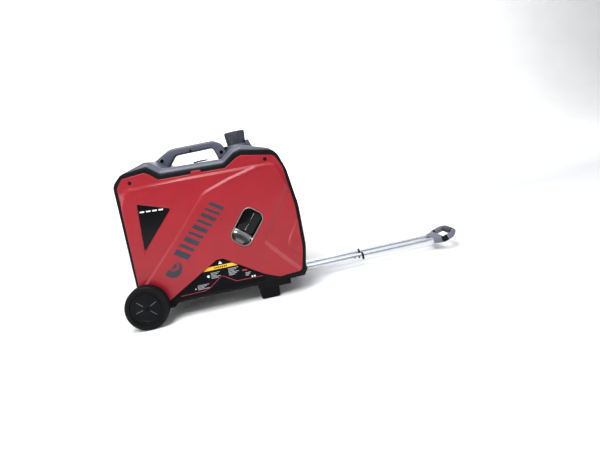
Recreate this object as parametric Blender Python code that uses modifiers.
"""Suitcase inverter generator with a trolley handle, two wheels and two feet.

Body coordinates: x runs from the wheel end to the trolley end, y across, z up from the
underside of the base.  The empty "generator" carries them to the object's own origin,
which is the middle of its footprint on the ground.  Lengths are in metres.
"""
import math

import bmesh
import bpy
from mathutils import Matrix, Vector

# ---- driving dimensions ------------------------------------------------------------
BODY_LENGTH = 0.560
BODY_WIDTH = 0.330            # over the two red side panels
SHOULDER_HEIGHT = 0.443       # top of the side covers, above the underside of the base
CLEARANCE = 0.052             # underside of the base above the ground
GAP = 0.0003                  # between pieces that touch
RUNNING = 0.0004              # radial clearance of a turning or sliding fit
WALL = 0.004                  # moulded covers
PANEL = 0.006                 # red side panels
SIDE_COVER = 0.0085           # black inner side covers
CROWN = 0.016                 # rise of the top cover above the side covers
CROWN_SLOPE = 0.026           # width of its sloping edge
CROWN_RUN = 0.070             # length over which it rises from each end
HANDLE_WIDTH = 0.036
HANDLE_TOP = 0.498
HANDLE_BAR = 0.028            # depth of the handle's bar
HANDLE_FOOT = 0.036           # its wheel-side leg meets the shoulder this far above the deck
HANDLE_START = 0.120          # foot of the handle's wheel-side leg
HANDLE_SPAN = 0.250           # between the outsides of the legs
WHEEL_RADIUS = 0.070
WHEEL_WIDTH = 0.034
RIM_RADIUS = 0.054
AXLE_RADIUS = 0.006
AXLE_X = 0.030
FOOT_X = 0.385
FOOT_LENGTH = 0.065
FOOT_WIDTH = 0.040
FOOT_PAD_DROP = 0.016         # foot pads below the underside of the base
TUBE_SPACING = 0.052          # between the two trolley tubes
TUBE_DROP = 0.014             # tube axis below the underside of the base
MIDDLE_RADIUS = 0.011
TUBE_WALL = 0.0012
MIDDLE_TRAVEL = 0.207
INNER_TRAVEL = 0.256
ENGAGED = 0.060               # what stays inside at full reach
SOCKET_DEPTH = 0.012          # inner tube inside the grip's yoke
LOCK_RADIUS = 0.003
LOCK_SETBACK = 0.018          # spring button from the middle tube's end
LOCK_PROUD = 0.0015
COLLAR_LENGTH = 0.005
GRIP_LENGTH = 0.087
GRIP_WIDTH = 0.116
GRIP_BAR_RADIUS = 0.012
GRIP_RISE = 0.022             # crossbar above the tubes' axis
GRIP_BEND = 0.024             # where the arms start to rise, from the grip's start
CAP_X = 0.152                 # fuel cap axis, from the trolley end
CAP_RADIUS = 0.0365           # at its top
CAP_TAPER = 0.88              # its base radius as a share of that
CAP_BASE = 0.466
CAP_HEIGHT = 0.046
NECK_RADIUS = 0.026
NECK_WALL = 0.002
CRANK_X = 0.240               # cylinder axis
CRANK_HEIGHT = 0.138
SHAFT_RADIUS = 0.010
PULLEY_RADIUS = 0.060
STARTER_X = 0.389
STARTER_TILT = math.radians(50.5)
STARTER_LENGTH = 0.122
STARTER_WIDTH = 0.072
STARTER_RIM = 0.004
STARTER_CORNER = 0.020
STARTER_DEPTH = 0.034
PANEL_RECESS = 0.019          # control panel behind the trolley end
SOCKET_RADIUS = 0.020
KNOB_RADIUS = 0.021
BUTTON_RADIUS = 0.006
DOOR_X, DOOR_Z = 0.135, 0.175  # low corner of the maintenance door
DOOR_LENGTH = 0.150
DOOR_HEIGHT = 0.130
LOCK_X = DOOR_X + DOOR_LENGTH / 2
LOCK_Z = DOOR_Z + 0.022
TURN_LOCK_RADIUS = 0.009
LABEL_APEX = 0.114            # top of the label plate
SCREW_RADIUS = 0.0048
PANEL_HALF, PANEL_LOW, PANEL_HIGH = 0.118, 0.085, 0.330       # window of the control panel
OUTLET_RADIUS = 0.014         # exhaust outlet
OUTLET_Y, OUTLET_Z = 0.070, 0.150
LOUVRES = 9
LOUVRE_LOW, LOUVRE_PITCH, LOUVRE_HEIGHT, LOUVRE_HALF = 0.210, 0.016, 0.007, 0.110
PLUG_COVER_X = 0.2725
GRIP_SCOOP = 0.036            # bright finger ramp below the starter's grip
ROPE_RADIUS = 0.0022
SOCKET_Y, SOCKET_Z = (-0.062, 0.0), 0.165
KNOB_Y, KNOB_Z = 0.068, 0.250
BUTTONS = (("ac_reset_button", 0.068, 0.180), ("dc_breaker_button", 0.068, 0.130))
ROCKER_Z = 0.305

# ---- derived places ------------------------------------------------------------------
HALF = BODY_WIDTH / 2
COVER_OUT = HALF - PANEL - GAP             # outer face of a side cover
COVER_IN = COVER_OUT - SIDE_COVER          # its inner face
SHELL = COVER_IN - GAP                     # half width of the top, base and end covers
WHEEL_Y = HALF + 0.005 + WHEEL_WIDTH / 2
AXLE_Z = WHEEL_RADIUS - CLEARANCE
TRAY_TOP = 0.022
VALLEY = SHOULDER_HEIGHT - 0.028
MIDDLE_END = BODY_LENGTH + MIDDLE_TRAVEL
INNER_RADIUS = MIDDLE_RADIUS - TUBE_WALL - RUNNING
GRIP_START = MIDDLE_END + INNER_TRAVEL
GRIP_END = GRIP_START + GRIP_LENGTH
GUIDE_START = BODY_LENGTH - MIDDLE_TRAVEL - ENGAGED - 0.005
GUIDE_END = BODY_LENGTH - LOCK_SETBACK - LOCK_RADIUS - 0.004   # clear of the pushed-in buttons
WHEEL_END = min(0.0, AXLE_X - WHEEL_RADIUS)
ORIGIN_X = (WHEEL_END + GRIP_END) / 2
PANEL_X = BODY_LENGTH - PANEL_RECESS
FUEL_X = BODY_LENGTH - CAP_X
STARTER_Z = CRANK_HEIGHT + PULLEY_RADIUS
SIDES = {"left": -1, "right": 1}

for old in list(bpy.data.objects):
    bpy.data.objects.remove(old, do_unlink=True)

PARTS = bpy.data.collections.new("inverter_generator")
CUTTERS = bpy.data.collections.new("cutters")
for group in (PARTS, CUTTERS):
    bpy.context.scene.collection.children.link(group)

ROOT = bpy.data.objects.new("generator", None)
ROOT.location = (-ORIGIN_X, 0, CLEARANCE)
PARTS.objects.link(ROOT)


# ---- helpers ---------------------------------------------------------------------------
def material(name, colour, roughness, metallic=0.0):
    made = bpy.data.materials.new(name)
    made.use_nodes = True
    shader = made.node_tree.nodes["Principled BSDF"]
    shader.inputs["Base Color"].default_value = (*colour, 1)
    shader.inputs["Roughness"].default_value = roughness
    shader.inputs["Metallic"].default_value = metallic
    return made


RED = material("red_panel", (0.43, 0.02, 0.032), 0.35)
CHARCOAL = material("charcoal_cover", (0.035, 0.037, 0.045), 0.6)
BLACK = material("black_plastic", (0.008, 0.008, 0.01), 0.55)
GLOSS = material("gloss_black", (0.005, 0.005, 0.006), 0.12)
RUBBER = material("rubber", (0.012, 0.012, 0.013), 0.85)
STEEL = material("bright_steel", (0.6, 0.6, 0.62), 0.25, 1.0)
CAST = material("cast_aluminium", (0.42, 0.42, 0.43), 0.5, 1.0)
CHROME = material("chrome", (0.75, 0.73, 0.7), 0.1, 1.0)
GRIP_GREY = material("grip_grey", (0.12, 0.12, 0.16), 0.6)
COPPER = material("copper", (0.55, 0.22, 0.1), 0.4, 1.0)
GREY_METAL = material("muffler_steel", (0.22, 0.21, 0.2), 0.6, 1.0)
TANK = material("tank_plastic", (0.05, 0.05, 0.05), 0.7)
SWITCH_RED = material("switch_red", (0.5, 0.03, 0.02), 0.4)


def add_object(name, mesh, paint, location=(0, 0, 0), cutter=False, smooth=True):
    """Put a mesh, given about its own origin, at a place in body coordinates."""
    piece = bpy.data.objects.new(name, mesh)
    piece.location = location
    piece.parent = ROOT
    if cutter:
        piece.hide_render = True
        piece.display_type = "WIRE"
        CUTTERS.objects.link(piece)
    else:
        mesh.materials.append(paint)
        PARTS.objects.link(piece)
    if smooth:
        mesh.shade_smooth()
        mesh.set_sharp_from_angle(angle=math.radians(35))
    return piece


def mesh_from(bm, name):
    mesh = bpy.data.meshes.new(name)
    bm.to_mesh(mesh)
    bm.free()
    return mesh


def bevel(piece, width, segments=2):
    modifier = piece.modifiers.new("rounded_edges", "BEVEL")
    modifier.width = width
    modifier.segments = segments
    modifier.limit_method = "ANGLE"
    modifier.angle_limit = math.radians(40)
    return piece


def box(name, low, high, paint=None, rounding=0.0, segments=2, cutter=False):
    low, high = Vector(low), Vector(high)
    bm = bmesh.new()
    bmesh.ops.create_cube(bm, size=1)
    bmesh.ops.scale(bm, vec=high - low, verts=bm.verts)
    piece = add_object(name, mesh_from(bm, name), paint, (low + high) / 2, cutter, smooth=False)
    return bevel(piece, rounding, segments) if rounding else piece


def rod(name, radius, start, end, paint=None, segments=32, cutter=False, tip=None):
    """A cylinder, or a cone with a tip radius, between two points."""
    start, end = Vector(start), Vector(end)
    along = end - start
    bm = bmesh.new()
    bmesh.ops.create_cone(bm, cap_ends=True, segments=segments, radius1=radius,
                          radius2=radius if tip is None else tip, depth=along.length)
    turn = Vector((0, 0, 1)).rotation_difference(along).to_matrix()
    bmesh.ops.rotate(bm, matrix=turn, verts=bm.verts)
    return add_object(name, mesh_from(bm, name), paint, (start + end) / 2, cutter)


AXES = {"x": Matrix.Rotation(math.pi / 2, 4, "Y"),
        "y": Matrix.Rotation(-math.pi / 2, 4, "X"),
        "-y": Matrix.Rotation(math.pi / 2, 4, "X"),
        "z": Matrix.Identity(4)}


def turned(name, profile, place, axis, paint, steps=24, cutter=False):
    """Turn (radius, height) points, listed from the top down the outside, about an axis."""
    mesh = bpy.data.meshes.new(name)
    closed = profile[0][0] > 0 or profile[-1][0] > 0
    points = [(radius, 0, height) for radius, height in profile]
    edges = [(i, i + 1) for i in range(len(points) - 1)]
    if closed:
        edges.append((len(points) - 1, 0))
    mesh.from_pydata(points, edges, [])
    piece = add_object(name, mesh, paint, place, cutter, smooth=False)
    piece.matrix_local = Matrix.Translation(place) @ AXES[axis]
    screw = piece.modifiers.new("turned", "SCREW")
    screw.axis = "Z"
    screw.steps = screw.render_steps = steps
    screw.use_merge_vertices = True
    screw.merge_threshold = 0.00001
    screw.use_smooth_shade = False
    return piece


def rounded(corners, step=math.radians(24)):
    """Round the corners (x, z, radius) of a closed outline with arcs."""
    outline = []
    count = len(corners)
    for i, (x, z, radius) in enumerate(corners):
        here = Vector((x, z))
        before = Vector(corners[i - 1][:2]) - here
        after = Vector(corners[(i + 1) % count][:2]) - here
        turn = math.pi - before.angle(after)
        if radius == 0 or turn < math.radians(3):
            outline.append((x, z))
            continue
        trim = min(radius * math.tan(turn / 2), 0.45 * before.length, 0.45 * after.length)
        radius = trim / math.tan(turn / 2)
        inward = (before.normalized() + after.normalized()).normalized()
        centre = here + inward * math.hypot(radius, trim)
        start = here + before.normalized() * trim - centre
        sweep = start.angle_signed(here + after.normalized() * trim - centre)
        pieces = max(1, round(abs(sweep) / step))
        for k in range(pieces + 1):
            point = centre + Matrix.Rotation(-sweep * k / pieces, 2) @ start
            outline.append((point.x, point.y))
    return outline


def offset_path(path, distance, closed=False):
    """Move a path sideways, to the right of its direction."""
    moved = []
    for i, point in enumerate(path):
        here = Vector(point)
        before = here - Vector(path[i - 1]) if closed or i > 0 else None
        after = Vector(path[(i + 1) % len(path)]) - here if closed or i + 1 < len(path) else None
        normals = [Vector((d.y, -d.x)).normalized() for d in (before, after) if d is not None]
        middle = sum(normals, Vector((0, 0))).normalized()
        moved.append(tuple(here + middle * distance / max(0.5, middle.dot(normals[0]))))
    return moved


def slab(name, outline, low, high, paint=None, cutter=False, plane="xz", holes=()):
    """A flat outline between two y (plane xz), x (plane yz) or z (plane xy) values."""
    curve = bpy.data.curves.new(name, "CURVE")
    curve.dimensions = "2D"
    curve.fill_mode = "BOTH"
    curve.extrude = (high - low) / 2
    for loop in (outline, *holes):
        spline = curve.splines.new("POLY")
        spline.points.add(len(loop) - 1)
        for point, (a, b) in zip(spline.points, loop):
            point.co = (a, b, 0, 1)
        spline.use_cyclic_u = True
    middle = (low + high) / 2
    turn, place = {"xz": (AXES["-y"], (0, middle, 0)),
                   "yz": (Matrix.Rotation(math.pi / 2, 4, "Z") @ AXES["-y"], (middle, 0, 0)),
                   "xy": (AXES["z"], (0, 0, middle))}[plane]
    holder = bpy.data.objects.new(name, curve)
    PARTS.objects.link(holder)
    holder.matrix_world = Matrix.Translation(place) @ turn
    bpy.context.view_layer.update()
    mesh = bpy.data.meshes.new_from_object(
        holder.evaluated_get(bpy.context.evaluated_depsgraph_get()))
    mesh.transform(holder.matrix_world)
    bpy.data.objects.remove(holder, do_unlink=True)
    bm = bmesh.new()
    bm.from_mesh(mesh)
    bmesh.ops.remove_doubles(bm, verts=bm.verts, dist=0.000001)
    bmesh.ops.recalc_face_normals(bm, faces=bm.faces)
    bm.to_mesh(mesh)
    bm.free()
    mesh.materials.clear()
    return add_object(name, mesh, paint, cutter=cutter, smooth=False)


def combine(piece, other, operation="DIFFERENCE"):
    modifier = piece.modifiers.new(operation.lower() + "_" + other.name, "BOOLEAN")
    modifier.operation = operation
    modifier.object = other
    return piece


def cut(piece, *cutters):
    for cutter in cutters:
        combine(piece, cutter)
    return piece


def join(piece, *others):
    for other in others:
        combine(piece, other, "UNION")
    return piece


def set_origin(piece, place):
    """Move a piece's origin to its joint's axis and leave its shape where it is."""
    place = Vector(place)
    shift = place - piece.location
    piece.data.transform(Matrix.Translation(-shift))
    piece.location = place
    return piece


def round_rectangle(length, width, radius, centre, tilt, step=math.radians(24)):
    """Corner-rounded rectangle in the x-z plane, its long axis tilted above +x."""
    corners = [(length / 2, width / 2), (-length / 2, width / 2),
               (-length / 2, -width / 2), (length / 2, -width / 2)]
    spin = Matrix.Rotation(tilt, 2)
    placed = [(*(spin @ Vector(corner) + Vector(centre)), radius) for corner in corners]
    return rounded(placed, step)


# ---- outlines of the body, seen from the side --------------------------------------------
def cover_corners():
    """The black side cover: shoulders at both ends with the handle's valley between."""
    end, top = BODY_LENGTH, SHOULDER_HEIGHT
    return [(0.012, 0.0, 0.012), (0.0, 0.060, 0.03), (0.0, top - 0.030, 0.035),
            (0.032, top + 0.001, 0.03), (0.115, top + 0.009, 0.02), (0.153, VALLEY + 0.005, 0.02),
            (end - 0.203, VALLEY - 0.004, 0.02), (end - 0.164, top - 0.005, 0.02),
            (end - 0.142, top, 0.02), (end - 0.032, top - 0.022, 0.045),
            (end - 0.009, top - 0.091, 0.06), (end + 0.006, 0.230, 0.1),
            (end + 0.003, 0.097, 0.1), (end - 0.015, 0.006, 0.025)]


def panel_corners():
    """The red panel: inside the black border, notched below for the label plate."""
    end, top = BODY_LENGTH, SHOULDER_HEIGHT
    tab = 0.267
    return [(0.022, 0.014, 0.01), (0.010, 0.076, 0.02), (0.013, top - 0.040, 0.02),
            (0.034, top - 0.014, 0.012), (0.106, top - 0.009, 0.008), (0.121, top - 0.017, 0.01),
            (0.147, VALLEY - 0.012, 0.01), (tab - 0.018, VALLEY - 0.0155, 0.003),
            (tab - 0.014, VALLEY - 0.007, 0.003), (tab + 0.014, VALLEY - 0.0075, 0.003),
            (tab + 0.018, VALLEY - 0.0165, 0.003), (end - 0.200, VALLEY - 0.019, 0.01),
            (end - 0.158, top - 0.022, 0.012), (end - 0.141, top - 0.018, 0.01),
            (end - 0.040, top - 0.038, 0.02), (end - 0.021, top - 0.080, 0.03),
            (end - 0.006, 0.230, 0.1), (end - 0.009, 0.097, 0.1), (end - 0.025, 0.022, 0.012),
            (end - 0.100, 0.017, 0.02), (end - 0.149, 0.037, 0.01),
            (end - 0.268, LABEL_APEX, 0.006), (end - 0.288, LABEL_APEX, 0.006),
            (0.113, 0.025, 0.004), (0.090, 0.014, 0.004)]


LABEL = [(0.132, 0.030), (BODY_LENGTH - 0.2875, LABEL_APEX - 0.0035),
         (BODY_LENGTH - 0.2685, LABEL_APEX - 0.0035), (BODY_LENGTH - 0.152, 0.0345),
         (BODY_LENGTH - 0.152, 0.014), (0.132, 0.014)]
BADGE = [(0.063, 0.340), (0.164, 0.306), (0.054, 0.188)]
TRAY_PROFILE = [(0.004, TRAY_TOP), (0.006, -0.012), (0.106, -0.012), (0.120, 0.0),
                (BODY_LENGTH - 0.02, 0.0), (BODY_LENGTH - 0.006, TRAY_TOP)]


def split_outline():
    """The cover outline cut into its wheel end, top and trolley end, bottom to bottom."""
    outline = rounded(cover_corners())
    left = [p for p in outline if p[0] < 0.031 and TRAY_TOP + 0.002 < p[1]]
    right = [p for p in outline if p[0] > BODY_LENGTH - 0.028 and TRAY_TOP + 0.002 < p[1]]
    top = [p for p in outline if p not in left and p not in right and p[1] > 0.2]
    left = [(left[0][0], TRAY_TOP + GAP)] + left
    right = right + [(right[-1][0], TRAY_TOP + GAP)]
    return left, top, right


WHEEL_PATH, TOP_PATH, TROLLEY_PATH = split_outline()


# ---- shell -------------------------------------------------------------------------------
def base_tray():
    tray = slab("base_tray", TRAY_PROFILE, -SHELL, SHELL, BLACK)
    for side, sign in SIDES.items():
        low, high = sorted((sign * 0.095, sign * SHELL))
        join(tray, box(f"foot_pad_{side}", (FOOT_X - 0.002, low, -FOOT_PAD_DROP),
                       (FOOT_X + FOOT_LENGTH + 0.041, high, 0.002), cutter=True))
    pocket = box("tray_pocket", (0.118, -SHELL + WALL, WALL),
                 (BODY_LENGTH - 0.03, SHELL - WALL, TRAY_TOP + 0.01), cutter=True)
    bore = rod("axle_bore", AXLE_RADIUS + RUNNING, (AXLE_X, -HALF, AXLE_Z),
               (AXLE_X, HALF, AXLE_Z), cutter=True)
    cut(tray, pocket)
    boss = box("axle_boss", (AXLE_X - 0.014, -SHELL, 0.0), (AXLE_X + 0.014, SHELL, AXLE_Z + 0.014),
               cutter=True)
    join(tray, boss)
    cut(tray, bore)


def end_cover(name, path, windows, inside_clear):
    """A moulded end wall, with windows cut through it."""
    inner = offset_path(path, WALL)
    cover = slab(name, path + inner[::-1], -SHELL, SHELL, BLACK)
    for i, (low, high) in enumerate(windows):
        cut(cover, box(f"{name}_window_{i}", low, high, cutter=True))
    if inside_clear:
        cut(cover, inside_clear)


def wheel_end():
    """The exhaust end: louvres over the muffler, with a round hole for its outlet."""
    windows = []
    for row in range(LOUVRES):
        z = LOUVRE_LOW + row * LOUVRE_PITCH
        windows.append(((-0.01, -LOUVRE_HALF, z), (0.02, LOUVRE_HALF, z + LOUVRE_HEIGHT)))
    outlet = rod("outlet_hole", OUTLET_RADIUS + 0.006, (-0.02, OUTLET_Y, OUTLET_Z),
                 (0.03, OUTLET_Y, OUTLET_Z), cutter=True)
    path = list(WHEEL_PATH)
    path[0] = (path[0][0], AXLE_Z + 0.014 + 2 * GAP)
    end_cover("exhaust_cover", path, windows, outlet)


def trolley_end():
    """The control end: one window that the control panel closes from inside."""
    window = ((BODY_LENGTH - 0.06, -PANEL_HALF, PANEL_LOW), (BODY_LENGTH + 0.03, PANEL_HALF, PANEL_HIGH))
    end_cover("control_cover", TROLLEY_PATH, [window], None)


def crowned(low, high):
    """The cover's middle rises from its edge by CROWN, less towards the body's ends."""
    from_end = min(low[0] - TOP_PATH[0][0], TOP_PATH[-1][0] - low[0])
    rise = min(1.0, from_end / CROWN_RUN)
    return (low[0] + (high[0] - low[0]) * rise, low[1] + (high[1] - low[1]) * rise)


def top_cover(side, sign):
    """Half of the crowned top, with half of the carrying handle."""
    raised = [crowned(low, high) for low, high in zip(TOP_PATH, offset_path(TOP_PATH, -CROWN))]
    low_y, high_y, mid_y = SHELL, SHELL - CROWN_SLOPE, GAP / 2
    bm = bmesh.new()
    rows = [[bm.verts.new((x, sign * y, z)) for x, z in path]
            for y, path in ((low_y, TOP_PATH), (high_y, raised), (mid_y, raised))]
    for outer, inner in zip(rows, rows[1:]):
        for a, b, c, d in zip(outer, outer[1:], inner[1:], inner):
            bm.faces.new((a, b, c, d) if sign > 0 else (d, c, b, a))
    bmesh.ops.recalc_face_normals(bm, faces=bm.faces)
    if sum(face.normal.z for face in bm.faces) < 0:
        bmesh.ops.reverse_faces(bm, faces=bm.faces)
    cover = add_object(f"top_cover_{side}", mesh_from(bm, "top_cover"), CHARCOAL, smooth=False)
    shell = cover.modifiers.new("wall", "SOLIDIFY")
    shell.thickness = WALL
    shell.offset = -1
    low, high = sorted((sign * mid_y, -sign * 0.05))
    trim = box(f"centre_trim_{side}", (-0.05, low, 0.2), (BODY_LENGTH + 0.05, high, 0.6), cutter=True)
    low, high = sorted((sign * mid_y, sign * HANDLE_WIDTH / 2))
    handle = slab(f"handle_{side}", handle_outline(), low, high, cutter=True)
    join(cover, handle)
    hole = rod(f"neck_hole_{side}", NECK_RADIUS + 0.003, (FUEL_X, 0, 0.40), (FUEL_X, 0, 0.48),
               cutter=True)
    access = box(f"plug_access_{side}", (PLUG_COVER_X - 0.020, -0.020, 0.38),
                 (PLUG_COVER_X + 0.020, 0.020, deck_height(PLUG_COVER_X) + 0.006), cutter=True)
    cut(cover, trim, hole, access)


def handle_outline():
    """The handle's arch: outside over the bar, then back along the hand opening."""
    start, end = HANDLE_START, HANDLE_START + HANDLE_SPAN
    deck = VALLEY + CROWN
    under = HANDLE_TOP - HANDLE_BAR
    return rounded([(start, deck + HANDLE_FOOT, 0), (start + 0.056, HANDLE_TOP, 0.03),
                    (end - 0.042, HANDLE_TOP, 0.03), (end - 0.010, deck + 0.024, 0.02),
                    (end + 0.006, deck - 0.002, 0), (end - 0.030, deck - 0.002, 0),
                    (end - 0.044, under, 0.014), (start + 0.070, under, 0.014),
                    (start + 0.040, deck - 0.0015, 0.0), (start + 0.004, deck - 0.0015, 0)])


def side_cover(side, sign):
    low, high = sorted((sign * COVER_IN, sign * COVER_OUT))
    cover = slab(f"side_cover_{side}", rounded(cover_corners()), low, high, BLACK)
    cut(cover, axle_hole(side, sign))
    if sign < 0:
        cut(cover, slab("cover_starter_hole", starter_outline(0.0006), -HALF, 0, cutter=True))
    else:
        cut(cover, door_hole("cover", -0.004))


def side_panel(side, sign):
    low, high = sorted((sign * (HALF - PANEL), sign * HALF))
    panel = slab(f"side_panel_{side}", rounded(panel_corners()), low, high, RED)
    cut(panel, axle_hole(f"panel_{side}", sign))
    span = sorted((sign * (HALF - 0.02), sign * (HALF + 0.02)))
    cut(panel, slab(f"badge_hole_{side}", BADGE, *span, cutter=True))
    for name, x, z in panel_screw_places():
        cut(panel, rod(f"hole_{name}_{side}", SCREW_RADIUS + RUNNING, (x, span[0], z),
                       (x, span[1], z), cutter=True, segments=16))
    if sign < 0:
        cut(panel, slab("panel_starter_hole", starter_outline(0.0006), -HALF - 0.02, 0, cutter=True))
    else:
        cut(panel, door_hole("panel", 0.0))


def axle_hole(name, sign):
    return rod(f"axle_hole_{name}", AXLE_RADIUS + 0.002, (AXLE_X, sign * 0.10, AXLE_Z),
               (AXLE_X, sign * (HALF + 0.02), AXLE_Z), cutter=True)


def panel_screw_places():
    return [("wheel_end", 0.056, SHOULDER_HEIGHT - 0.032),
            ("trolley_end", BODY_LENGTH - 0.070, SHOULDER_HEIGHT - 0.046)]


def panel_screws():
    for name, x, z in panel_screw_places():
        rod(f"panel_screw_{name}", SCREW_RADIUS, (x, -HALF + 0.002, z),
            (x, -COVER_OUT - GAP, z), STEEL, segments=16)


def badge_and_label():
    slab("badge_plate", offset_path(BADGE, 0.0006, closed=True), -(COVER_OUT + GAP + 0.0015),
         -(COVER_OUT + GAP), GLOSS)
    slab("label_plate", LABEL, -(COVER_OUT + GAP + 0.003), -(COVER_OUT + GAP), GLOSS)


def door_outline(grow):
    return rounded([(DOOR_X - grow, DOOR_Z - grow, 0.012),
                    (DOOR_X - grow, DOOR_Z + DOOR_HEIGHT + grow, 0.012),
                    (DOOR_X + DOOR_LENGTH + grow, DOOR_Z + DOOR_HEIGHT + grow, 0.012),
                    (DOOR_X + DOOR_LENGTH + grow, DOOR_Z - grow, 0.012)])


def door_hole(name, grow):
    return slab(f"door_hole_{name}", door_outline(grow + 0.0015), 0.1, HALF + 0.02, cutter=True)


def maintenance_door():
    """A cover over the air cleaner, hooked at its top edge and held by a turn lock."""
    door = slab("maintenance_door", door_outline(0.0), HALF - PANEL + GAP, HALF, RED)
    cut(door, rod("lock_hole", TURN_LOCK_RADIUS + RUNNING, (LOCK_X, 0.1, LOCK_Z),
                  (LOCK_X, HALF + 0.02, LOCK_Z), cutter=True))
    set_origin(door, (LOCK_X, HALF - PANEL / 2, DOOR_Z + DOOR_HEIGHT))
    turned("door_lock", [(0, 0.004), (TURN_LOCK_RADIUS, 0.004), (TURN_LOCK_RADIUS, 0), (0, 0)],
           (LOCK_X, HALF - 0.0035, LOCK_Z), "y", BLACK)


# ---- wheels and feet ---------------------------------------------------------------------
def wheels():
    rod("axle", AXLE_RADIUS, (AXLE_X, -WHEEL_Y - WHEEL_WIDTH / 2 - 0.001, AXLE_Z),
        (AXLE_X, WHEEL_Y + WHEEL_WIDTH / 2 + 0.001, AXLE_Z), STEEL)
    half = WHEEL_WIDTH / 2
    bore = AXLE_RADIUS + RUNNING
    seat = RIM_RADIUS + GAP
    hub = [(RIM_RADIUS - 0.004, half - 0.002), (RIM_RADIUS, half - 0.005),
           (RIM_RADIUS, -half + 0.005), (RIM_RADIUS - 0.004, -half + 0.002),
           (RIM_RADIUS - 0.010, -half + 0.006), (0.017, -half + 0.006), (0.014, -half), (bore, -half),
           (bore, half), (0.014, half), (0.017, half - 0.006), (RIM_RADIUS - 0.010, half - 0.006)]
    tread = WHEEL_RADIUS
    tyre = [(tread - 0.006, half), (tread, half - 0.006), (tread, -half + 0.006),
            (tread - 0.006, -half), (seat, -half), (seat, half)]
    for side, sign in SIDES.items():
        place = (AXLE_X, sign * WHEEL_Y, AXLE_Z)
        turned(f"wheel_hub_{side}", hub, place, "y", BLACK)
        turned(f"tyre_{side}", tyre, place, "y", RUBBER, steps=40)


def feet():
    for side, sign in SIDES.items():
        low, high = sorted((sign * (SHELL - 0.001), sign * (SHELL - 0.001 - FOOT_WIDTH)))
        box(f"foot_{side}", (FOOT_X, low, -CLEARANCE),
            (FOOT_X + FOOT_LENGTH, high, -FOOT_PAD_DROP - GAP), RUBBER, rounding=0.005)


# ---- trolley handle ----------------------------------------------------------------------
def pipe(name, radius, wall, start, end, y, paint, ring=0.0):
    """A tube along x; ring is the length of a raised collar at its open end."""
    length = end - start
    profile = [(radius, length), (radius, 0), (radius - wall, 0), (radius - wall, length)]
    if ring:
        lip = radius + 0.0015
        profile = [(lip, length), (lip, length - ring), (radius, length - ring)] + profile[1:]
    return turned(name, profile, (start, y, -TUBE_DROP), "x", paint)


def trolley():
    guide = box("trolley_guide", (GUIDE_START, -TUBE_SPACING / 2 - 0.016, -2 * TUBE_DROP),
                (GUIDE_END, TUBE_SPACING / 2 + 0.016, -GAP), BLACK)
    for side, sign in SIDES.items():
        y = sign * TUBE_SPACING / 2
        cut(guide, rod(f"guide_bore_{side}", MIDDLE_RADIUS + RUNNING, (GUIDE_START - 0.01, y, -TUBE_DROP),
                       (GUIDE_END + 0.01, y, -TUBE_DROP), cutter=True))
        middle = pipe(f"middle_tube_{side}", MIDDLE_RADIUS, TUBE_WALL,
                      MIDDLE_END - MIDDLE_TRAVEL - ENGAGED, MIDDLE_END - GAP, y, STEEL, COLLAR_LENGTH)
        inner = pipe(f"inner_tube_{side}", INNER_RADIUS, TUBE_WALL,
                     GRIP_START - INNER_TRAVEL - ENGAGED, GRIP_START + SOCKET_DEPTH, y, STEEL)
        lock_button(side, sign, y, middle, inner)
    grip()


def lock_button(side, sign, y, middle, inner):
    """A spring button in the middle tube's outer side, over a hole in the inner tube."""
    x, z = MIDDLE_END - LOCK_SETBACK, -TUBE_DROP
    outside, inside = y + sign * 0.03, y + sign * 0.004
    cut(middle, rod(f"lock_hole_{side}", LOCK_RADIUS + RUNNING, (x, inside, z), (x, outside, z),
                    cutter=True, segments=16))
    cut(inner, rod(f"lock_seat_{side}", LOCK_RADIUS + 0.0008, (x, inside, z), (x, outside, z),
                   cutter=True, segments=16))
    rod(f"lock_button_{side}", LOCK_RADIUS, (x, y + sign * (INNER_RADIUS + GAP), z),
        (x, y + sign * (MIDDLE_RADIUS + LOCK_PROUD), z), STEEL, segments=16)


def grip_height(x):
    """Height of the grip's middle surface: level over the sockets, then rising to the bar."""
    bend = GRIP_START + GRIP_BEND
    return GRIP_RISE * max(0.0, (x - bend) / (GRIP_END - bend)) - TUBE_DROP


def grip():
    """The D-shaped grip: a yoke on the inner tubes with a soft crossbar between its arms."""
    half, bar_x = GRIP_WIDTH / 2, GRIP_END - GRIP_BAR_RADIUS - 0.002
    arm = 0.015
    outline = rounded([(GRIP_START, -half + 0.016, 0.008), (GRIP_START + 0.030, -half, 0.012),
                       (GRIP_END, -half, 0.010), (GRIP_END, -half + arm, 0.003),
                       (GRIP_START + 0.036, -half + arm, 0.008),
                       (GRIP_START + GRIP_BEND, -half + arm + 0.012, 0.006),
                       (GRIP_START + GRIP_BEND, half - arm - 0.012, 0.006),
                       (GRIP_START + 0.036, half - arm, 0.008), (GRIP_END, half - arm, 0.003),
                       (GRIP_END, half, 0.010), (GRIP_START + 0.030, half, 0.012),
                       (GRIP_START, half - 0.016, 0.008)])
    yoke = slab("grip_yoke", outline, -0.0115, 0.0115, GRIP_GREY, plane="xy")
    for vertex in yoke.data.vertices:
        vertex.co.z += grip_height(vertex.co.x)
    for side, sign in SIDES.items():
        y = sign * TUBE_SPACING / 2
        cut(yoke, rod(f"yoke_socket_{side}", INNER_RADIUS + GAP, (GRIP_START - 0.01, y, -TUBE_DROP),
                      (GRIP_START + SOCKET_DEPTH + GAP, y, -TUBE_DROP), cutter=True))
    reach = half - arm - GAP
    bar_z = grip_height(bar_x)
    rod("grip_bar", GRIP_BAR_RADIUS, (bar_x, -reach, bar_z), (bar_x, reach, bar_z), RUBBER)


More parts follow.
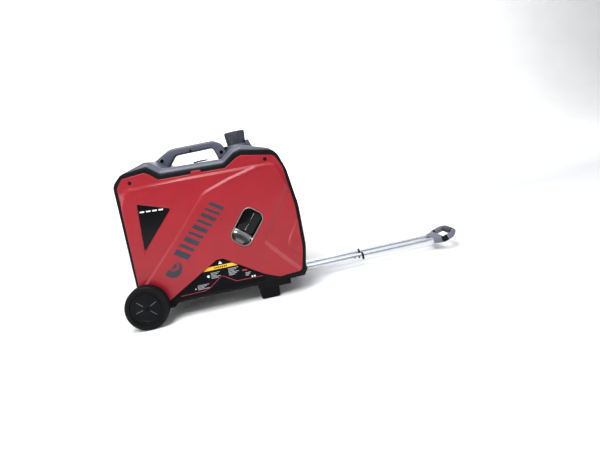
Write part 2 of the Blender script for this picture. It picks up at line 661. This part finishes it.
# ---- fuel system -------------------------------------------------------------------------
def fuel_system():
    low = (FUEL_X - 0.035, -0.115, 0.300)
    high = (BODY_LENGTH - 0.055, 0.115, SHOULDER_HEIGHT - 0.032)
    tank = box("fuel_tank", low, high, TANK)
    neck_top = CAP_BASE + 0.024
    join(tank, rod("neck_outside", NECK_RADIUS, (FUEL_X, 0, high[2] - 0.002), (FUEL_X, 0, neck_top),
                   cutter=True))
    cut(tank, box("tank_inside", [v + 0.003 for v in low], [v - 0.003 for v in high], cutter=True))
    cut(tank, rod("neck_inside", NECK_RADIUS - NECK_WALL, (FUEL_X, 0, high[2] - 0.01),
                  (FUEL_X, 0, neck_top + 0.01), cutter=True))
    seal_top = neck_top + GAP + 0.003
    turned("cap_seal", [(0, seal_top), (NECK_RADIUS, seal_top), (NECK_RADIUS, neck_top + GAP),
                        (0, neck_top + GAP)], (FUEL_X, 0, 0), "z", RUBBER)
    inside = NECK_RADIUS + 0.0015
    top = CAP_BASE + CAP_HEIGHT
    turned("fuel_cap", [(0, top - CAP_BASE), (CAP_RADIUS, top - CAP_BASE),
                        (CAP_RADIUS * CAP_TAPER, 0), (inside, 0), (inside, seal_top + GAP - CAP_BASE),
                        (0, seal_top + GAP - CAP_BASE)], (FUEL_X, 0, CAP_BASE), "z", BLACK)


def deck_height(x):
    """Height of the crowned deck's middle at x, between the handle's legs."""
    for low, high in zip(TOP_PATH, TOP_PATH[1:]):
        if low[0] <= x <= high[0]:
            return low[1] + (high[1] - low[1]) * (x - low[0]) / (high[0] - low[0]) + CROWN
    return VALLEY + CROWN


def plug_cover():
    x, half = PLUG_COVER_X, 0.0235
    seat = deck_height(x - half) + 2 * GAP
    box("spark_plug_cover", (x - half, -half, seat), (x + half, half, seat + 0.0058), BLACK,
        rounding=0.002)


# ---- engine and alternator ---------------------------------------------------------------
def engine():
    x, z = CRANK_X, CRANK_HEIGHT
    case = box("crankcase", (x - 0.058, -0.075, z - 0.078), (x + 0.052, 0.075, z + 0.062), CAST,
               rounding=0.006, segments=1)
    cut(case, rod("crank_bore", SHAFT_RADIUS + RUNNING, (x - 0.04, 0, z), (x + 0.08, 0, z), cutter=True))
    cut(case, rod("oil_bore", 0.008 + RUNNING, (x - 0.035, 0.05, z - 0.04),
                  (x - 0.035, 0.08, z - 0.04), cutter=True))
    rod("crankshaft", SHAFT_RADIUS, (x - 0.038, 0, z), (STARTER_X - 0.022, 0, z), STEEL)
    turned("oil_filler_plug", [(0, 0.012), (0.012, 0.012), (0.012, 0.0003), (0.008, 0.0003),
                               (0.008, -0.020), (0, -0.020)],
           (x - 0.035, 0.075, z - 0.04), "y", BLACK, steps=24)
    fins, base, count, pitch = [], z + 0.062 + GAP, 5, 0.0154
    for k in range(count):
        low = base + 0.006 + k * pitch
        fins += [(0.034, low), (0.046, low), (0.046, low + 0.004), (0.034, low + 0.004)]
    head_z = base + 0.006 + count * pitch
    outside = [(0.034, head_z)] + fins[::-1] + [(0.034, base)]
    turned("cylinder", outside + [(0.0265, base), (0.0265, head_z)], (x, 0, 0), "z", CAST, steps=20)
    head = box("cylinder_head", (x - 0.045, -0.045, head_z + GAP), (x + 0.045, 0.045, head_z + 0.030),
               CAST)
    for k in range(4):
        y = -0.033 + 0.02 * k
        cut(head, box(f"head_slot_{k}", (x - 0.06, y, head_z + 0.012), (x + 0.010, y + 0.008, head_z + 0.04),
                      cutter=True))
    plug_x = PLUG_COVER_X
    cut(head, rod("plug_bore", 0.006 + GAP, (plug_x, 0, head_z + 0.010), (plug_x, 0, head_z + 0.04),
                  cutter=True, segments=16))
    turned("spark_plug", [(0, 0.062), (0.004, 0.062), (0.0055, 0.030), (0.008, 0.030), (0.008, 0.0203),
                          (0.006, 0.0203), (0.006, 0.0), (0, 0.0)],
           (plug_x, 0, head_z + 0.0103), "z", STEEL, steps=16)
    muffler = box("muffler", (0.022, -0.105, z - 0.035), (0.112, 0.105, z + 0.180), GREY_METAL,
                  rounding=0.012, segments=1)
    join(muffler, box("exhaust_pipe", (0.100, -0.012, head_z + 0.003), (x - 0.045 - GAP, 0.012, head_z + 0.023),
                      cutter=True))
    outlet = rod("outlet_outside", OUTLET_RADIUS, (0.004, OUTLET_Y, OUTLET_Z),
                 (0.05, OUTLET_Y, OUTLET_Z), cutter=True)
    join(muffler, outlet)
    cut(muffler, rod("outlet_inside", OUTLET_RADIUS - 0.002, (-0.01, OUTLET_Y, OUTLET_Z),
                     (0.045, OUTLET_Y, OUTLET_Z), cutter=True))
    box("carburettor", (x - 0.020, 0.045 + GAP, head_z + 0.002), (x + 0.020, 0.092, head_z + 0.028), CAST,
        rounding=0.003, segments=1)
    box("air_cleaner", (x - 0.075, 0.092 + GAP, head_z - 0.045), (x + 0.030, 0.142, head_z + 0.045),
        BLACK, rounding=0.008, segments=1)


def alternator():
    z, start = CRANK_HEIGHT, CRANK_X + 0.0605
    rim, wall, hub = 0.078, 0.010, 0.020
    bore = SHAFT_RADIUS + GAP
    cup = [(rim, 0.048), (rim, 0), (rim - wall, 0), (rim - wall, 0.040), (hub, 0.040), (hub, 0.034),
           (bore, 0.034), (bore, 0.048)]
    turned("flywheel_rotor", cup, (start, 0, z), "x", CAST, steps=28)
    ring = [(rim - wall - 0.001, 0.034), (rim - wall - 0.001, 0.006), (hub + 0.010, 0.006),
            (hub + 0.010, 0.034)]
    turned("stator", ring, (start, 0, z), "x", COPPER, steps=28)


def starter_outline(grow):
    return round_rectangle(STARTER_LENGTH + 2 * grow, STARTER_WIDTH + 2 * grow,
                           STARTER_CORNER + grow, (STARTER_X, STARTER_Z), STARTER_TILT)


def starter():
    """Recoil starter: a chrome-rimmed pocket, its grip, the rope, pulley and housing."""
    inner = starter_outline(-STARTER_RIM)
    slab("starter_bezel", starter_outline(0), -HALF - 0.0015, -HALF + 0.0085, CHROME, holes=[inner])
    front, back = -HALF + 0.0085 + GAP, -HALF + STARTER_DEPTH
    pocket = slab("starter_pocket", starter_outline(-GAP), front, back, GLOSS)
    cut(pocket, slab("pocket_inside", inner, front - 0.01, back - 0.003, cutter=True))
    cut(pocket, rod("rope_hole", 0.005, (STARTER_X, back - 0.02, STARTER_Z),
                    (STARTER_X, back + 0.02, STARTER_Z), cutter=True, segments=16))
    reach = STARTER_LENGTH - 2 * STARTER_RIM - GRIP_SCOOP
    shift = Matrix.Rotation(STARTER_TILT, 2) @ Vector((GRIP_SCOOP / 2 - 0.0006, 0))
    outline = round_rectangle(reach - 0.001, STARTER_WIDTH - 2 * STARTER_RIM - 0.002, STARTER_CORNER - 0.005,
                              (STARTER_X + shift.x, STARTER_Z + shift.y), STARTER_TILT)
    grip_piece = slab("recoil_grip", outline, -HALF + 0.001, back - 0.004, BLACK)
    set_origin(grip_piece, (STARTER_X, -HALF, STARTER_Z))
    rod("starter_rope", ROPE_RADIUS, (STARTER_X, back - 0.004 + GAP, STARTER_Z),
        (STARTER_X, -0.030, STARTER_Z), RUBBER, segments=12)
    groove = PULLEY_RADIUS - 0.0025 - 0.0003
    pulley = [(PULLEY_RADIUS + 0.004, 0.008), (PULLEY_RADIUS + 0.004, 0.005), (groove, 0.004),
              (groove, -0.004), (PULLEY_RADIUS + 0.004, -0.005), (PULLEY_RADIUS + 0.004, -0.008),
              (0.008 + RUNNING, -0.008), (0.008 + RUNNING, 0.008)]
    turned("recoil_pulley", pulley, (STARTER_X, 0, CRANK_HEIGHT), "x", BLACK, steps=32)
    shell = 0.082
    housing = [(0.008, -0.010), (0.0, -0.010), (0.0, 0.018), (shell, 0.018), (shell, -0.012),
               (shell - 0.004, -0.012), (shell - 0.004, 0.013), (0.008, 0.013)]
    cup = turned("recoil_housing", housing[2:] + housing[:2],
                 (STARTER_X, 0, CRANK_HEIGHT), "x", CHARCOAL, steps=32)
    slot = box("rope_slot", (STARTER_X - 0.02, -0.09, STARTER_Z - 0.008),
               (STARTER_X + 0.008, -0.03, STARTER_Z + 0.008), cutter=True)
    cut(cup, slot)


# ---- electrics ---------------------------------------------------------------------------
def control_panel():
    face = PANEL_X
    low, high = PANEL_LOW - 0.006, PANEL_HIGH + 0.006
    half = PANEL_HALF + 0.006
    plate = box("control_panel", (face - 0.004, -half, low), (face, half, high), GLOSS)
    box("inverter_unit", (BODY_LENGTH - 0.150, -0.105, 0.008), (BODY_LENGTH - 0.055, 0.105, 0.052), CAST,
        rounding=0.003, segments=1)
    z = SOCKET_Z
    for k, y in enumerate(SOCKET_Y):
        name = f"ac_outlet_{k + 1}"
        cut(plate, rod(f"{name}_hole", SOCKET_RADIUS - 0.003, (face - 0.02, y, z), (face + 0.02, y, z),
                       cutter=True))
        turned(name, [(SOCKET_RADIUS, 0.006), (SOCKET_RADIUS, GAP), (SOCKET_RADIUS - 0.0035, GAP),
                      (SOCKET_RADIUS - 0.0035, -0.020), (0, -0.020), (0, 0.002),
                      (SOCKET_RADIUS - 0.004, 0.002), (SOCKET_RADIUS - 0.004, 0.006)],
               (face, y, z), "x", BLACK)
    turned("engine_switch", [(0, 0.016), (KNOB_RADIUS - 0.003, 0.016), (KNOB_RADIUS, GAP), (0, GAP)],
           (face, KNOB_Y, KNOB_Z), "x", SWITCH_RED)
    for name, y, z in BUTTONS:
        bore = BUTTON_RADIUS + RUNNING
        cut(plate, rod(f"{name}_hole", bore, (face - 0.02, y, z), (face + 0.02, y, z), cutter=True))
        rod(name, BUTTON_RADIUS, (face - 0.008, y, z), (face + 0.006, y, z), BLACK, segments=24)
    rocker = box("eco_switch", (face - 0.010, -0.012, ROCKER_Z - 0.011),
                 (face + 0.003, 0.012, ROCKER_Z + 0.011), SWITCH_RED, rounding=0.001, segments=1)
    set_origin(rocker, (face - 0.001, 0, ROCKER_Z))
    cut(plate, box("eco_hole", (face - 0.02, -0.0128, ROCKER_Z - 0.0125),
                   (face + 0.02, 0.0128, ROCKER_Z + 0.0125), cutter=True))


# ---- assembly ----------------------------------------------------------------------------
base_tray()
wheel_end()
trolley_end()
for side_name, side_sign in SIDES.items():
    top_cover(side_name, side_sign)
    side_cover(side_name, side_sign)
    side_panel(side_name, side_sign)
panel_screws()
badge_and_label()
maintenance_door()
wheels()
feet()
trolley()
fuel_system()
plug_cover()
engine()
alternator()
starter()
control_panel()
